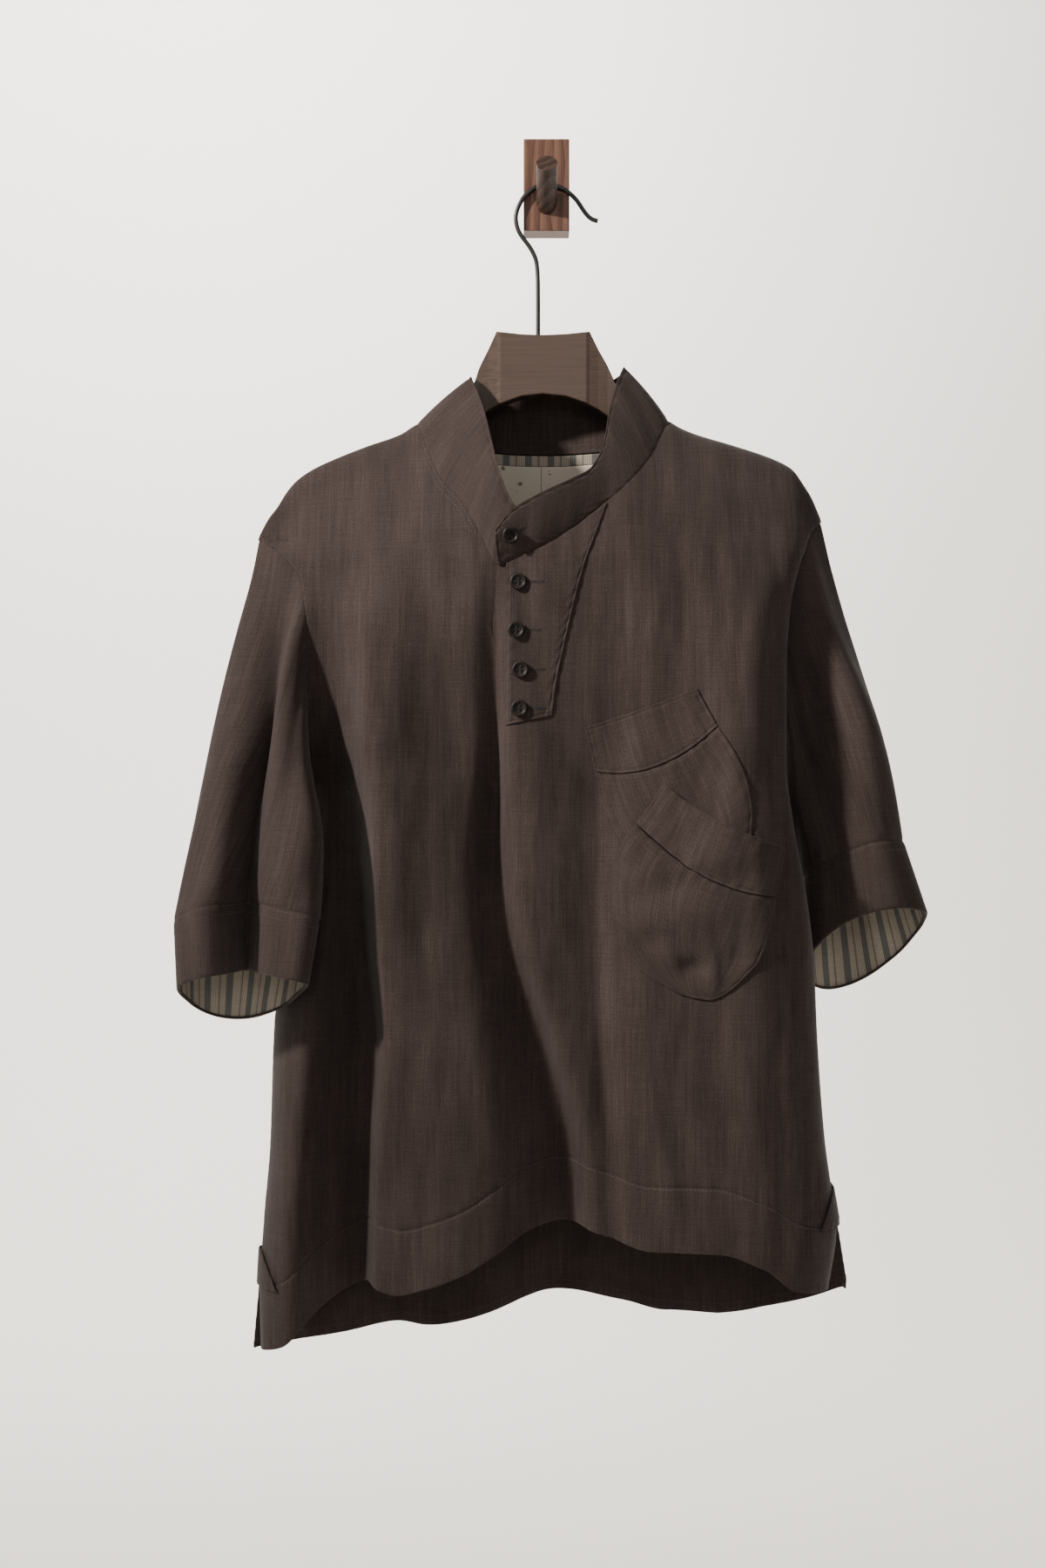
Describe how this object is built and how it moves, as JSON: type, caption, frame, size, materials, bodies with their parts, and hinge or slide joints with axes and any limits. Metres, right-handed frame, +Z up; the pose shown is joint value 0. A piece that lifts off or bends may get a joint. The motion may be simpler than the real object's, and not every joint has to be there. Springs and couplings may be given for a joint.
{
  "type": "popover shirt on a hanger and wall peg",
  "caption": "Loose short-sleeved popover shirt with a stand collar, bib placket and two overlapping chest pockets, on a wooden hanger hung from a wall peg.",
  "frame": {"origin": "middle of the wall plate's back face, where it meets the wall", "axes": "+Z up, +Y out of the plate's back into the wall, the shirt's front faces -Y, +X to the right seen from the front"},
  "size_m": [0.6341, 0.1539, 1.0511],
  "materials": {
    "linen": "matt slubbed linen, dark brown-grey",
    "ticking": "woven cotton ticking, cream with blue-grey and taupe stripes",
    "sage_cotton": "plain cotton, sage",
    "cream_cotton": "plain cotton, cream",
    "horn": "dark satin",
    "stained_wood": "grey-brown stain, satin",
    "black_wire": "black satin",
    "walnut": "oiled walnut"
  },
  "bodies": {
    "root": {"front": "linen", "front_hem_band": "linen", "back": "linen", "sleeve_left": "linen", "sleeve_right": "linen", "cuff_left": "linen", "cuff_right": "linen", "cuff_lining_left": "ticking", "cuff_lining_right": "ticking", "collar": "linen", "bib_placket": "linen", "back_neck_strip": "ticking", "back_neck_lining_left": "sage_cotton", "back_neck_lining_right": "cream_cotton", "pocket_upper_band": "linen", "pocket_upper_bag": "linen", "pocket_lower_band": "linen", "pocket_lower_bag": "linen", "gusset_left": "linen", "gusset_right": "linen", "button_1": "horn", "button_2": "horn", "button_3": "horn", "button_4": "horn", "button_5": "horn", "hanger_body": "stained_wood", "hanger_hook": "black_wire", "wall_plate": "walnut", "wall_peg": "walnut"}
  },
  "joints": []
}
